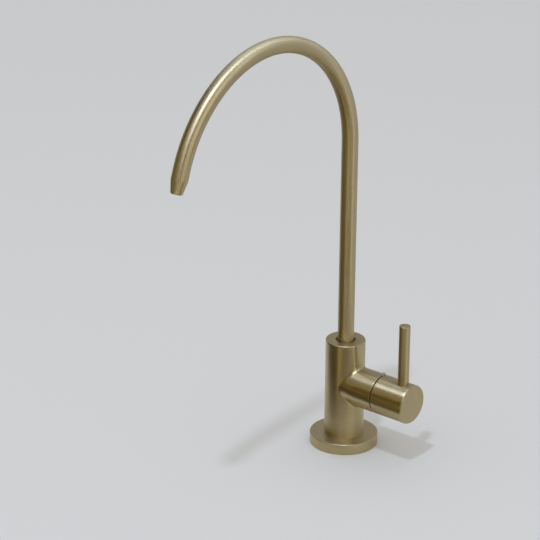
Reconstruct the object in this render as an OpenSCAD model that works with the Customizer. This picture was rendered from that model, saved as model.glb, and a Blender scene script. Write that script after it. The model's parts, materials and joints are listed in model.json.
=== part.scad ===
// Drinking water filter tap: a swivelling gooseneck spout and a quarter-turn side lever.
// Millimetres, +Z up. The origin is the centre of the base flange's underside, on the deck.
// The spout points to -Y, towards the user, and the valve lies along +X.

/* [Base] */
// Diameter of the base flange
flange_d = 42; // [38:0.5:60]
// Thickness of the base flange
flange_t = 6.8; // [5.5:0.1:10]
// Distance from the flange's rim to its seal ring
seal_inset = 2; // [1.2:0.1:4]
// Width of the seal ring
seal_w = 2.4; // [1.5:0.1:4]
// Depth of the seal ring
seal_t = 1.6; // [1:0.1:2.5]

/* [Shank] */
// Outside diameter of the shank's thread
shank_d = 14; // [13.5:0.1:18]
// Length of the shank below the deck
shank_len = 62; // [56:1:90]
// Length of the plain stretch of shank under the flange
shank_plain = 16; // [8:1:20]
// Width of the relief groove between the plain stretch and the thread
relief_w = 2; // [1:0.1:4]
// Depth of the relief groove
relief_depth = 0.6; // [0.3:0.1:1]
// Width of the collar that holds the flange, beyond the shank
collar_w = 1; // [0.6:0.1:2]
// Height of the collar
collar_t = 2; // [1.2:0.1:3]
// Diameter of the shank's upper thread
spigot_d = 12; // [11:0.1:13]
// Length of the upper thread inside the body
spigot_grip = 11.8; // [9:0.1:14]
// Diameter of the water way
water_d = 6.4; // [5:0.1:7]

/* [Body] */
// Diameter of the upright body
body_d = 24.4; // [22:0.1:30]
// Height of the valve's axis above the deck
valve_z = 40.5; // [36:0.5:55]
// Height of the body's top above the valve's axis
body_rise = 28.5; // [28:0.5:40]
// Chamfer on the outer edges
edge = 0.4; // [0.2:0.1:0.8]

/* [Branch] */
// Diameter of the side branch and of the handle barrel
branch_d = 24.4; // [23:0.1:30]
// Length of the branch, from the body's axis to its end face
branch_len = 28.4; // [27.5:0.1:40]
// Thickness of the glide ring, which is the seam's width
seam_w = 0.8; // [0.5:0.1:1.5]
// Depth of the glide ring below the branch's surface
seam_depth = 0.6; // [0.3:0.1:1]
// Width of the glide ring's locating tab
tab_w = 2.4; // [1.5:0.1:4]
// Length of the tab along the branch
tab_len = 1; // [0.6:0.1:2]
// Height of the tab above the branch's surface
tab_rise = 1.5; // [0.3:0.1:2]
// Angle of the tab from the top of the branch towards the rear
tab_angle = 8; // [0:1:60]

/* [Handle] */
// Length of the handle barrel
barrel_len = 23; // [19:0.5:35]
// Rounding of the barrel's outer rim
barrel_round = 1.2; // [0.5:0.1:3]
// Diameter of the lever pin
lever_d = 6.8; // [5.8:0.1:9]
// Height of the lever's top above the valve's axis
lever_rise = 50.3; // [35:0.1:80]
// Distance from the barrel's end face to the lever's axis
lever_inset = 7.2; // [5:0.1:9]
// Depth of the lever's seat below the top of the barrel
lever_seat = 1.6; // [1.2:0.1:3]
// Diameter of the lever's threaded root
lever_root_d = 5; // [4:0.1:5.5]
// Length of the lever's threaded root
lever_root_len = 5.5; // [3:0.1:7]
// Diameter of the handle's grub screw
handle_screw_d = 4; // [3:0.5:5]
// Distance of the handle screw's outer end below the barrel's surface
handle_screw_sink = 1.6; // [0.5:0.1:3]
// Depth of the barrel's recess that clears the gland nut
barrel_recess = 2; // [1.4:0.1:4]
// Metal left between the spindle's socket and the lever's root
stem_wall = 1; // [0.5:0.1:2]

/* [Cartridge] */
// Diameter of the valve chamber in the branch
chamber_d = 18; // [17.4:0.1:19]
// Diameter of the ceramic discs
disc_d = 12; // [11.4:0.1:12.6]
// Thickness of the fixed ceramic disc
fixed_disc_t = 3; // [2.4:0.1:3.4]
// Thickness of the moving ceramic disc
moving_disc_t = 2.6; // [2.4:0.1:3.2]
// Angle that each port in a disc spans
port_angle = 70; // [40:1:80]
// Inner radius of the ports
port_in = 1.7; // [1.2:0.1:2.2]
// Outer radius of the ports
port_out = 4.6; // [3.6:0.1:5]
// Thickness of the seat seal
seat_seal_t = 1.6; // [1.2:0.1:2]
// Wall of the housing round the discs
housing_wall = 1.2; // [1:0.1:1.5]
// Length of the space for the spindle's drive
drive_len = 2.6; // [2.2:0.1:3.4]
// Thickness of the spindle's thrust flange
thrust_t = 0.8; // [0.6:0.1:1]
// Depth of the drive tongue in the moving disc
tongue_depth = 1.2; // [0.8:0.1:1.4]
// Width of the drive tongue
tongue_w = 2.4; // [1.6:0.1:2.8]
// Thickness of the slip washer
slip_t = 0.6; // [0.4:0.1:1]
// Length of the spindle's bearing in the housing
bearing_len = 5.6; // [4.6:0.1:6.4]
// Diameter of the spindle
spindle_d = 8; // [7.4:0.1:8.6]
// Depth of the flat on the spindle
flat_depth = 0.6; // [0.3:0.1:1.2]
// Thickness of the gland nut in the branch
gland_t = 3.6; // [3:0.1:4.4]
// Step in from the gland nut's thread to its nose
gland_step = 0.4; // [0.3:0.1:0.8]
// Turn of the handle from closed to open
handle_turn = 90; // [80:1:90]
// Angle that the spindle's stop lug spans
lug_span = 40; // [25:1:50]
// Angle that each stop rib in the housing spans
rib_span = 20; // [10:1:25]
// Angle left between the lug and a rib at the end of the turn
stop_gap = 1; // [0.5:0.5:2]
// Width of the two keys on the fixed disc
key_w = 2.4; // [1.6:0.1:3]
// Width of the outlet windows in the housing
window_w = 6; // [4:0.1:7]
// Width of the spanner slot across the gland nut
spanner_w = 1.6; // [1:0.1:2.5]

/* [Spout] */
// Outside diameter of the spout tube
tube_d = 10; // [9.4:0.1:10.4]
// Wall of the spout tube
tube_wall = 1; // [0.8:0.1:1.4]
// Length of straight tube above the body
tube_straight = 129; // [60:1:220]
// Radius of the bend, to the tube's middle
bend_r = 78; // [40:1:120]
// Angle of the bend
bend_angle = 161; // [120:1:180]
// Length of straight tube between the bend and the tip
end_straight = 6; // [2:0.5:40]
// Length of the tapered tip
tip_len = 8; // [6.5:0.1:14]
// Outside diameter of the tip's mouth
mouth_d = 7.2; // [5.8:0.1:7.8]
// Wall of the tip at its mouth
mouth_wall = 0.6; // [0.5:0.1:0.8]
// Length of the flow straightener
straightener_len = 3.6; // [2:0.1:5]
// Distance of the flow straightener inside the mouth
straightener_sink = 0.5; // [0.2:0.1:1]
// Diameter of each hole in the flow straightener
straightener_hole_d = 1.1; // [0.8:0.05:1.2]
// Step in from the tube's bore to the narrowing bore of the tip
tip_step = 0.1; // [0.05:0.05:0.3]

/* [Spout joint] */
// Diameter of the spout's ferrule and of the guide ring
ferrule_d = 12.2; // [12:0.1:13]
// Length of tube inside the ferrule
tube_grip = 5.5; // [4:0.1:7]
// Width of the groove that the retaining screw runs in
keep_groove_w = 2.4; // [2.2:0.1:3]
// Depth of that groove
keep_groove_depth = 1.2; // [0.9:0.1:1.4]
// Width of the lands between the ferrule's grooves
land_w = 1.1; // [0.8:0.1:1.6]
// Height of the guide ring
guide_h = 2.6; // [1.5:0.1:4]
// Depth of the guide ring below the body's top
guide_sink = 0.4; // [0.2:0.1:1]
// Height of the water space under the ferrule
plenum_h = 4; // [3.8:0.1:5]
// Diameter of the passage from the valve chamber to the spout
outlet_d = 3.6; // [2.6:0.1:3.8]
// Diameter of the spout's retaining screw
keep_screw_d = 3; // [3:0.5:4]
// Diameter of that screw's nose
keep_nose_d = 1.8; // [1.4:0.1:2]

/* [Deck clamp] */
// Thickness of the deck that the tap is clamped to
deck_t = 30; // [18:1:38]
// Diameter of the rubber washer
rubber_d = 34; // [26:0.5:45]
// Thickness of the rubber washer
rubber_t = 3; // [2:0.1:5]
// Diameter of the steel washer
steel_d = 30; // [24:0.5:40]
// Thickness of the steel washer
steel_t = 1.5; // [1:0.1:2.5]
// Width of the lock nut across its flats
nut_flats = 19; // [18.5:0.5:27]
// Height of the lock nut
nut_h = 7; // [5:0.1:9]

/* [Inlet] */
// Diameter of the supply tube that pushes in
supply_d = 6.35; // [6:0.05:6.4]
// Radial clearance of the supply tube in the collet
supply_gap = 0.075; // [0.05:0.005:0.1]
// Diameter of the socket in the shank's end
socket_d = 10.6; // [10.4:0.1:11]
// Depth of the socket
socket_depth = 18; // [16:0.1:22]
// Thickness of the ring behind the inlet seal
spacer_t = 1.2; // [0.8:0.1:2]
// Height of the collet's flared end
flare_h = 1.6; // [1:0.1:2.5]
// Wall of the inlet retainer
retainer_wall = 0.7; // [0.5:0.1:0.8]
// Travel of the collet when it is pressed
collet_travel = 1.5; // [1:0.1:2]
// Thickness of the collet's head
collet_head_t = 1.5; // [1:0.1:3]
// Distance of the collet head's rim inside the shank's surface
collet_head_inset = 1; // [0.4:0.1:1.2]
// Thickness of the steel teeth
teeth_t = 0.4; // [0.3:0.1:0.6]
// Number of the steel teeth
teeth_count = 8; // [6:1:12]

/* [Fits] */
// Section of the seals on the spout, spindle, housing and shank
seal_d = 1.5; // [1.3:0.05:1.6]
// Room beside a seal in its groove
groove_room = 0.4; // [0.2:0.1:0.6]
// Radial clearance of a part that turns or slides in its bore
run_gap = 0.05; // [0.03:0.01:0.08]
// Clearance of a seal from the wall it runs on
seal_gap = 0.02; // [0.01:0.01:0.04]
// Clearance between parts that only pass each other
free_gap = 0.3; // [0.2:0.05:0.4]

/* [Hidden] */
$fn = 96;
// Overlap of a cut beyond the surface that it opens
cut = 1;

// Radii of the main cylinders
flange_r = flange_d / 2;
shank_r = shank_d / 2;
collar_r = shank_r + collar_w;
spigot_r = spigot_d / 2;
water_r = water_d / 2;
body_r = body_d / 2;
branch_r = branch_d / 2;
lever_r = lever_d / 2;
tube_r = tube_d / 2;
tube_bore_r = tube_r - tube_wall;
ferrule_r = ferrule_d / 2;
chamber_r = chamber_d / 2;
disc_r = disc_d / 2;
spindle_r = spindle_d / 2;
socket_r = socket_d / 2;
mouth_r = mouth_d / 2;
mouth_bore_r = mouth_r - mouth_wall;

// Seal grooves
groove_w = seal_d + groove_room;

// Heights along the body's axis
spigot_top = flange_t + spigot_grip;
body_top = valve_z + body_rise;
guide_top = body_top - guide_sink;
ferrule_top = guide_top - guide_h;
ferrule_len = tube_grip + keep_groove_w + 2 * groove_w + 4 * land_w;
ferrule_bottom = ferrule_top - ferrule_len;
ferrule_bore_r = ferrule_r - seal_d - land_w;
spout_bore_r = ferrule_r + run_gap;
plenum_z = ferrule_bottom - plenum_h;
// Depth of the outlet passage's end below the top of the valve chamber
outlet_sink = outlet_d / 6;
tube_bottom = ferrule_top - tube_grip;
keep_z = tube_bottom - land_w - keep_groove_w / 2;
spout_seal_z = [for (i = [0, 1]) ferrule_bottom + land_w + groove_w / 2 + i * (land_w + groove_w)];
bend_z = body_top + tube_straight;
// Where the tip's bore has narrowed to the size of its mouth, along the tip
tip_neck = tip_len - straightener_sink - straightener_len;
hole_ring_r = (mouth_bore_r + straightener_hole_d / 2) / 2;

// Angles of the housing's outlet windows, either side of the top
window_angles = [45, 135];
// Number of holes in the flow straightener, round the middle one
ring_holes = 6;

// Places along the valve's axis, measured from the body's axis
slip_x = branch_len - gland_t - bearing_len - slip_t;
drive_x = slip_x - drive_len;
moving_x = drive_x - moving_disc_t;
fixed_x = moving_x - fixed_disc_t;
chamber_x = fixed_x - seat_seal_t;
bearing_x = slip_x + slip_t;
gland_x = branch_len - gland_t;
barrel_x = branch_len + seam_w;
barrel_end = barrel_x + barrel_len;
lever_x = barrel_end - lever_inset;
recess_end = barrel_x + barrel_recess;
stem_end = lever_x - lever_root_d / 2 - stem_wall;
handle_screw_x = (recess_end + stem_end) / 2;

// The cartridge
housing_bore_r = disc_r + run_gap;
housing_r = housing_bore_r + housing_wall;
housing_rim_x = chamber_x + seat_seal_t / 2;
bearing_r = spindle_r + run_gap;
// Middle of the stop lug when the valve is closed, from +Y towards +Z
lug_angle = 270 - handle_turn / 2;
gland_nose_r = chamber_r - gland_step;
glide_r = branch_r - seam_depth;
tab_in_r = chamber_r + gland_step;

// The handle
lever_floor = branch_r - lever_seat;

// The bottom of the shank, measured from the deck
shank_end = -shank_len;
socket_top = shank_end + socket_depth;
inlet_seal_d = socket_r - supply_d / 2 + seal_gap * 2;
spacer_z = socket_top - inlet_seal_d - spacer_t;
teeth_top = spacer_z - collet_travel - free_gap;
collet_top = teeth_top - teeth_t;
collet_bore_r = supply_d / 2 + supply_gap;
retainer_in_r = socket_r - retainer_wall;
collet_r = retainer_in_r - run_gap;
flare_r = socket_r - free_gap;
retainer_top = collet_top - flare_h - seal_gap * 2;
collet_head_z = shank_end - collet_travel;
collet_bottom = collet_head_z - collet_head_t;

// The deck clamp
rubber_z = -deck_t - rubber_t;
steel_z = rubber_z - steel_t;
nut_z = steel_z - nut_h;
clamp_hole_r = shank_r + free_gap;

// Finishes
brass = "darkgoldenrod";
plain_brass = "goldenrod";
black_plastic = "dimgray";
grey_plastic = "silver";
black_rubber = "darkslategray";
white_ceramic = "whitesmoke";
steel = "lightsteelblue";

// Shapes that repeat

// Puts a shape on the valve's axis: its +Z points along +X
module on_valve(x) {
    translate([x, 0, valve_z]) rotate([0, 90, 0]) children();
}

// Turns a shape on the valve's axis to an angle measured from +Y towards +Z
module at_angle(a) {
    rotate([0, 0, a + 90]) children();
}

// A rod with chamfers at its lower and upper rim
module rod(r, h, low = 0, high = 0) {
    rotate_extrude() polygon([
        [0, 0], [r - low, 0], [r, low], [r, h - high], [r - high, h], [0, h]
    ]);
}

// A flat ring
module ring(r_out, r_in, h) {
    rotate_extrude() translate([r_in, 0]) square([r_out - r_in, h]);
}

// A round seal whose outer edge reaches the radius r
module o_ring(r, section) {
    rotate_extrude() translate([r - section / 2, 0]) circle(d = section);
}

// A piece of a ring that spans an angle, starting at local +X
module sector(r_in, r_out, span, h) {
    rotate_extrude(angle = span) translate([r_in, 0]) square([r_out - r_in, h]);
}

// A groove for a seal, round a rod of radius r, with its middle at height z
module seal_groove(r, z) {
    translate([0, 0, z - groove_w / 2]) ring(r + cut, r - seal_d, groove_w);
}

// A grub screw that stands on its driving end, with a hexagon socket there
module grub_screw(d, len, key) {
    difference() {
        rod(d / 2, len, edge / 2, edge / 2);
        translate([0, 0, -cut]) cylinder(d = key / cos(30), h = key + cut, $fn = 6);
    }
}

// The body and the base

module tap_body() color(brass) difference() {
    union() {
        translate([0, 0, flange_t]) rod(body_r, body_top - flange_t, 0, edge);
        on_valve(0) rod(branch_r, branch_len, 0, edge);
    }
    translate([0, 0, plenum_z]) cylinder(r = spout_bore_r, h = body_top - plenum_z + cut);
    translate([0, 0, flange_t - cut]) cylinder(r = spigot_r, h = spigot_grip + cut);
    translate([0, 0, spigot_top - cut]) cylinder(r = water_r, h = valve_z - spigot_top + cut);
    on_valve(0) cylinder(r = water_r, h = chamber_x + cut);
    on_valve(chamber_x) cylinder(r = chamber_r, h = branch_len - chamber_x + cut);
    outlet_passage();
    translate([0, 0, keep_z]) rotate([-90, 0, 0]) cylinder(d = keep_screw_d, h = body_r + cut);
    glide_tab(run_gap);
}

// The passage from the space round the cartridge up to the water space under the spout
module outlet_passage() {
    drop = valve_z + chamber_r - plenum_z - plenum_h / 2 - outlet_sink;
    run = chamber_x + outlet_d / 2;
    translate([0, 0, plenum_z + plenum_h / 2])
        rotate([0, atan2(run, drop), 0])
        cylinder(d = outlet_d, h = norm([run, drop]));
}

module base_flange() color(brass) difference() {
    rod(flange_r, flange_t, edge / 2, edge);
    translate([0, 0, -cut]) cylinder(r = spigot_r + run_gap, h = flange_t + 2 * cut);
    translate([0, 0, -cut]) cylinder(r = collar_r + run_gap, h = collar_t + cut);
    translate([0, 0, -cut]) ring(flange_r - seal_inset, flange_r - seal_inset - seal_w, seal_t + cut);
}

module base_seal() color(black_rubber)
    ring(flange_r - seal_inset, flange_r - seal_inset - seal_w, seal_t);

module threaded_shank() color(plain_brass) difference() {
    rotate_extrude() polygon([
        [0, shank_end], [shank_r - edge, shank_end], [shank_r, shank_end + edge], [shank_r, 0],
        [collar_r, 0], [collar_r, collar_t], [spigot_r, collar_t], [spigot_r, spigot_top - edge],
        [spigot_r - edge, spigot_top], [0, spigot_top]
    ]);
    translate([0, 0, shank_end - cut]) cylinder(r = water_r, h = spigot_top - shank_end + 2 * cut);
    translate([0, 0, shank_end - cut]) cylinder(r = socket_r, h = socket_depth + cut);
    translate([0, 0, -shank_plain - relief_w]) ring(shank_r + cut, shank_r - relief_depth, relief_w);
    seal_groove(spigot_r, spigot_top - land_w - groove_w / 2);
}

module shank_o_ring() color(black_rubber)
    translate([0, 0, spigot_top - land_w - groove_w / 2]) o_ring(spigot_r, seal_d);

// The spout

// Puts a shape at the end of the bend: its +Z runs out along the tube
module at_bend_end() {
    translate([0, -bend_r, bend_z]) rotate([90, 0, 90]) rotate([0, 0, bend_angle])
        translate([bend_r, 0, 0]) rotate([-90, 0, 0]) children();
}

// Puts a shape where the tip's taper starts
module at_tip() {
    at_bend_end() translate([0, 0, end_straight]) children();
}

module spout_tube() color(brass) difference() {
    union() {
        translate([0, 0, tube_bottom]) ring(tube_r, tube_bore_r, bend_z - tube_bottom);
        translate([0, -bend_r, bend_z]) rotate([90, 0, 90]) rotate_extrude(angle = bend_angle)
            translate([bend_r, 0]) difference() {
                circle(r = tube_r);
                circle(r = tube_bore_r);
            }
        translate([0, 0, bend_z]) bend_joint();
        at_bend_end() bend_joint();
        at_bend_end() ring(tube_r, tube_bore_r, end_straight + tip_len + cut);
        at_tip() translate([0, 0, -tip_step]) cylinder(r = tube_r - tube_wall / 2, h = tip_len + cut);
    }
    at_tip() tip_bore();
    at_tip() tip_outside();
}

// A ring inside the wall that makes a straight tube and the bend one piece
module bend_joint() {
    translate([0, 0, -tube_wall / 2])
        ring(tube_r - tube_wall / 4, tube_bore_r + tube_wall / 4, tube_wall);
}

// The bore of the tip, which narrows to the mouth
module tip_bore() {
    start_r = tube_bore_r - tip_step;
    rotate_extrude() polygon([
        [0, -cut], [start_r, -cut], [start_r, 0], [mouth_bore_r, tip_neck],
        [mouth_bore_r, tip_len + cut], [0, tip_len + cut]
    ]);
}

// What lies outside the tip's taper and past its mouth
module tip_outside() {
    taper = (tube_r - mouth_r) / (tip_len - edge);
    rotate_extrude() polygon([
        [tube_r + cut * taper, -cut], [mouth_r, tip_len - edge], [mouth_r - edge, tip_len],
        [0, tip_len], [0, 2 * tip_len], [2 * tube_r, 2 * tip_len], [2 * tube_r, -cut]
    ]);
}

module flow_straightener() color(grey_plastic) at_tip() translate([0, 0, tip_neck]) difference() {
    cylinder(r = mouth_bore_r, h = straightener_len);
    for (i = [0:ring_holes]) {
        rotate([0, 0, i * 360 / ring_holes]) translate([i == 0 ? 0 : hole_ring_r, 0, -cut])
            cylinder(d = straightener_hole_d, h = straightener_len + 2 * cut);
    }
}

module spout_ferrule() color(plain_brass) difference() {
    translate([0, 0, ferrule_bottom]) rod(ferrule_r, ferrule_len, edge, 0);
    translate([0, 0, ferrule_bottom - cut]) cylinder(r = ferrule_bore_r, h = ferrule_len + 2 * cut);
    translate([0, 0, tube_bottom]) cylinder(r = tube_r, h = tube_grip + cut);
    for (z = spout_seal_z) seal_groove(ferrule_r, z);
    translate([0, 0, keep_z - keep_groove_w / 2])
        ring(ferrule_r + cut, ferrule_r - keep_groove_depth, keep_groove_w);
}

module spout_o_rings() color(black_rubber)
    for (z = spout_seal_z) translate([0, 0, z]) o_ring(spout_bore_r - seal_gap, seal_d);

module spout_guide_ring() color(black_plastic)
    translate([0, 0, ferrule_top]) ring(spout_bore_r, tube_r + run_gap, guide_h);

module spout_grub_screw() color(steel) {
    nose_y = ferrule_r - keep_groove_depth + free_gap;
    nose_len = spout_bore_r - nose_y + free_gap;
    shaft_len = body_r - edge - nose_y - nose_len;
    translate([0, body_r - edge, keep_z]) rotate([90, 0, 0]) {
        grub_screw(keep_screw_d, shaft_len, keep_screw_d / 2);
        translate([0, 0, shaft_len - edge]) cylinder(d = keep_nose_d, h = nose_len + edge);
    }
}

// The valve cartridge

module seat_seal() color(black_rubber) on_valve(chamber_x)
    ring(disc_r, water_r, seat_seal_t);

// The two ports of a disc, with the first at the given angle
module ports(angle, h) {
    for (a = [angle, angle + 180])
        at_angle(a - port_angle / 2) translate([0, 0, -cut])
            sector(port_in, port_out, port_angle, h + 2 * cut);
}

// The two keys that stop the fixed disc from turning, or their slots
module disc_keys(r, w, h) {
    for (a = [90, 270]) at_angle(a) translate([disc_r - cut, -w / 2, 0]) cube([r - disc_r + cut, w, h]);
}

module fixed_disc() color(white_ceramic) on_valve(fixed_x) difference() {
    union() {
        cylinder(r = disc_r, h = fixed_disc_t);
        disc_keys(housing_r - run_gap, key_w, fixed_disc_t);
    }
    ports(0, fixed_disc_t);
}

module moving_disc() color(white_ceramic) on_valve(moving_x) difference() {
    cylinder(r = disc_r, h = moving_disc_t);
    ports(90, moving_disc_t);
    translate([0, 0, moving_disc_t - tongue_depth - run_gap])
        tongue(run_gap, tongue_depth + run_gap + cut);
}

// The drive tongue of the spindle, or its slot
module tongue(gap, h) {
    translate([-tongue_w / 2 - gap, -port_out - gap, 0])
        cube([tongue_w + 2 * gap, 2 * (port_out + gap), h]);
}

module cartridge_housing() color(plain_brass) difference() {
    union() {
        difference() {
            union() {
                on_valve(housing_rim_x) cylinder(r = housing_r, h = gland_x - housing_rim_x);
                on_valve(bearing_x) cylinder(r = chamber_r - run_gap, h = bearing_len);
            }
            on_valve(housing_rim_x - cut) cylinder(r = housing_bore_r, h = bearing_x - housing_rim_x + cut);
        }
        on_valve(drive_x + free_gap) for (a = stop_angles())
            at_angle(a) sector(spindle_r, housing_bore_r + housing_wall / 2, rib_span, rib_len());
    }
    on_valve(bearing_x - cut) cylinder(r = bearing_r, h = bearing_len + 2 * cut);
    on_valve(housing_rim_x - cut)
        disc_keys(housing_r + cut, key_w + 2 * run_gap, moving_x - housing_rim_x + cut);
    on_valve(drive_x) for (a = window_angles) at_angle(a)
        translate([spindle_r, -window_w / 2, free_gap]) cube([chamber_r, window_w, drive_len - free_gap]);
    on_valve(bearing_x) seal_groove(chamber_r - run_gap, bearing_len / 2);
}

// Angles where the two stop ribs start, one just before the lug's travel and one just after it
function stop_angles() = [
    lug_angle - lug_span / 2 - stop_gap - rib_span,
    lug_angle + lug_span / 2 + handle_turn + stop_gap
];
function rib_len() = drive_len - thrust_t - 2 * free_gap;

module housing_o_ring() color(black_rubber)
    on_valve(bearing_x + bearing_len / 2) o_ring(chamber_r - seal_gap, seal_d);

module slip_washer() color(black_plastic) on_valve(slip_x)
    ring(disc_r - free_gap, spindle_r + run_gap, slip_t);

module valve_spindle() color(plain_brass) difference() {
    core_r = spindle_r - free_gap;
    lug_r = disc_r - free_gap;
    union() {
        on_valve(drive_x - tongue_depth) intersection() {
            tongue(0, tongue_depth + free_gap / 2);
            cylinder(r = port_out - run_gap, h = tongue_depth + free_gap / 2);
        }
        on_valve(drive_x) cylinder(r = core_r, h = drive_len);
        on_valve(slip_x - thrust_t) cylinder(r = lug_r, h = thrust_t);
        on_valve(drive_x + free_gap) at_angle(lug_angle - lug_span / 2)
            sector(core_r - cut, lug_r, lug_span, drive_len - free_gap);
        on_valve(slip_x - thrust_t) rod(spindle_r, stem_end - slip_x + thrust_t, 0, edge);
    }
    on_valve(bearing_x) seal_groove(spindle_r, bearing_len / 2);
    on_valve(recess_end) at_angle(270) translate([spindle_r - flat_depth, -spindle_r, 0])
        cube([spindle_d, spindle_d, stem_end - recess_end + cut]);
}

module spindle_o_ring() color(black_rubber)
    on_valve(bearing_x + bearing_len / 2) o_ring(bearing_r - seal_gap, seal_d);

module gland_nut() color(plain_brass) on_valve(gland_x) difference() {
    nose_h = gland_t + seam_w + free_gap;
    union() {
        cylinder(r = chamber_r, h = gland_t);
        cylinder(r = gland_nose_r, h = nose_h);
    }
    translate([0, 0, -cut]) cylinder(r = spindle_r + free_gap, h = nose_h + 2 * cut);
    translate([-chamber_r, -spanner_w / 2, gland_t]) cube([chamber_d, spanner_w, seam_w + cut]);
}

// The tab that keeps the glide ring from turning, or its notch in the branch
module glide_tab(gap) {
    on_valve(branch_len - tab_len) at_angle(90 - tab_angle)
        translate([tab_in_r - gap, -tab_w / 2 - gap, -gap])
        cube([branch_r + tab_rise - tab_in_r + gap, tab_w + 2 * gap, tab_len + seam_w + gap]);
}

module glide_ring() color(grey_plastic) {
    on_valve(branch_len) ring(glide_r, gland_nose_r + run_gap, seam_w);
    glide_tab(0);
}

// The handle

module handle_barrel() color(brass) difference() {
    on_valve(barrel_x) rotate_extrude() {
        polygon([
            [0, 0], [branch_r - edge, 0], [branch_r, edge], [branch_r, barrel_len - barrel_round],
            [branch_r - barrel_round, barrel_len], [0, barrel_len]
        ]);
        translate([branch_r - barrel_round, barrel_len - barrel_round]) intersection() {
            circle(r = barrel_round);
            square(barrel_round);
        }
    }
    on_valve(barrel_x - cut) cylinder(r = gland_nose_r + free_gap, h = barrel_recess + cut);
    on_valve(recess_end - cut) cylinder(r = spindle_r, h = stem_end - recess_end + cut);
    translate([lever_x, 0, valve_z + lever_floor]) cylinder(r = lever_r, h = branch_r);
    translate([lever_x, 0, valve_z + lever_floor - lever_root_len])
        cylinder(d = lever_root_d, h = lever_root_len + cut);
    translate([handle_screw_x, 0, valve_z - branch_r - cut])
        cylinder(d = handle_screw_d, h = branch_r + cut);
}

module handle_grub_screw() color(steel) {
    len = branch_r - handle_screw_sink - spindle_r + flat_depth;
    translate([handle_screw_x, 0, valve_z - branch_r + handle_screw_sink])
        grub_screw(handle_screw_d, len, handle_screw_d / 2);
}

module lever_pin() color(brass) translate([lever_x, 0, valve_z + lever_floor]) {
    rod(lever_r, lever_rise - lever_floor, 0, edge);
    translate([0, 0, -lever_root_len]) cylinder(d = lever_root_d, h = lever_root_len + cut);
}

// The deck clamp

module rubber_washer() color(black_rubber) translate([0, 0, rubber_z])
    ring(rubber_d / 2, clamp_hole_r, rubber_t);

module steel_washer() color(steel) translate([0, 0, steel_z])
    ring(steel_d / 2, clamp_hole_r, steel_t);

module lock_nut() color(plain_brass) translate([0, 0, nut_z]) difference() {
    intersection() {
        cylinder(d = nut_flats / cos(30), h = nut_h, $fn = 6);
        rod(nut_flats / 2 / cos(30), nut_h, edge * 2, edge * 2);
    }
    translate([0, 0, -cut]) cylinder(r = shank_r + run_gap, h = nut_h + 2 * cut);
}

// The push-in inlet in the shank's end

module inlet_o_ring() color(black_rubber)
    translate([0, 0, socket_top - inlet_seal_d / 2]) o_ring(socket_r, inlet_seal_d);

module inlet_spacer() color(black_plastic) translate([0, 0, spacer_z])
    ring(socket_r, collet_bore_r, spacer_t);

module inlet_retainer() color(plain_brass) translate([0, 0, shank_end])
    ring(socket_r, retainer_in_r, retainer_top - shank_end);

module inlet_collet() color(grey_plastic) difference() {
    union() {
        translate([0, 0, collet_bottom]) cylinder(r = collet_r, h = collet_top - collet_bottom);
        translate([0, 0, collet_top - flare_h]) cylinder(r = flare_r, h = flare_h);
        translate([0, 0, collet_bottom]) rod(shank_r - collet_head_inset, collet_head_t, edge, 0);
    }
    translate([0, 0, collet_bottom - cut])
        cylinder(r = collet_bore_r, h = collet_top - collet_bottom + 2 * cut);
}

module collet_teeth() color(steel) translate([0, 0, collet_top]) difference() {
    ring(flare_r, supply_d / 2 + seal_gap, teeth_t);
    for (i = [0:teeth_count - 1]) rotate([0, 0, i * 360 / teeth_count])
        translate([0, -teeth_t / 2, -cut]) cube([retainer_in_r - free_gap, teeth_t, teeth_t + 2 * cut]);
}

tap_body();
base_flange();
base_seal();
threaded_shank();
shank_o_ring();
spout_tube();
flow_straightener();
spout_ferrule();
spout_o_rings();
spout_guide_ring();
spout_grub_screw();
seat_seal();
fixed_disc();
moving_disc();
cartridge_housing();
housing_o_ring();
slip_washer();
valve_spindle();
spindle_o_ring();
gland_nut();
glide_ring();
handle_barrel();
handle_grub_screw();
lever_pin();
rubber_washer();
steel_washer();
lock_nut();
inlet_o_ring();
inlet_spacer();
inlet_retainer();
inlet_collet();
collet_teeth();
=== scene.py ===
import json

import bmesh
import bpy
import numpy as np
from mathutils import Matrix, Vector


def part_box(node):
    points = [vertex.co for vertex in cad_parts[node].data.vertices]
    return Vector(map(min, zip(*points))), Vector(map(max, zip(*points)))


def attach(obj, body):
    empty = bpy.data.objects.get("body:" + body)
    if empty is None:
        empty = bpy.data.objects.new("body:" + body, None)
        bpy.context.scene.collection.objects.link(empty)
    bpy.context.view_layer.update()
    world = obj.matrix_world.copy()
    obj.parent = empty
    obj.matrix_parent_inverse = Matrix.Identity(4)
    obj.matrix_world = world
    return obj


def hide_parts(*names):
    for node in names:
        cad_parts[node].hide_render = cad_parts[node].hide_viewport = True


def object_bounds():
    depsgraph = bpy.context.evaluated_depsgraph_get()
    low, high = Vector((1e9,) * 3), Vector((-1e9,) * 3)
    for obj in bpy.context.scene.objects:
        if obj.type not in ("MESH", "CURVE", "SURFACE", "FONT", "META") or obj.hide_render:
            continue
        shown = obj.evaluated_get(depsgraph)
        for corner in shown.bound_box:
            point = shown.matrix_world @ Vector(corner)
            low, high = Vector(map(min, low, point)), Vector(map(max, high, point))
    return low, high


# Brushed brass filter tap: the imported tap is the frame, and the pieces that show are made anew as surfaces
# Lengths are metres. +Z is up, the spout points to -Y and the valve lies along +X

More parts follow.
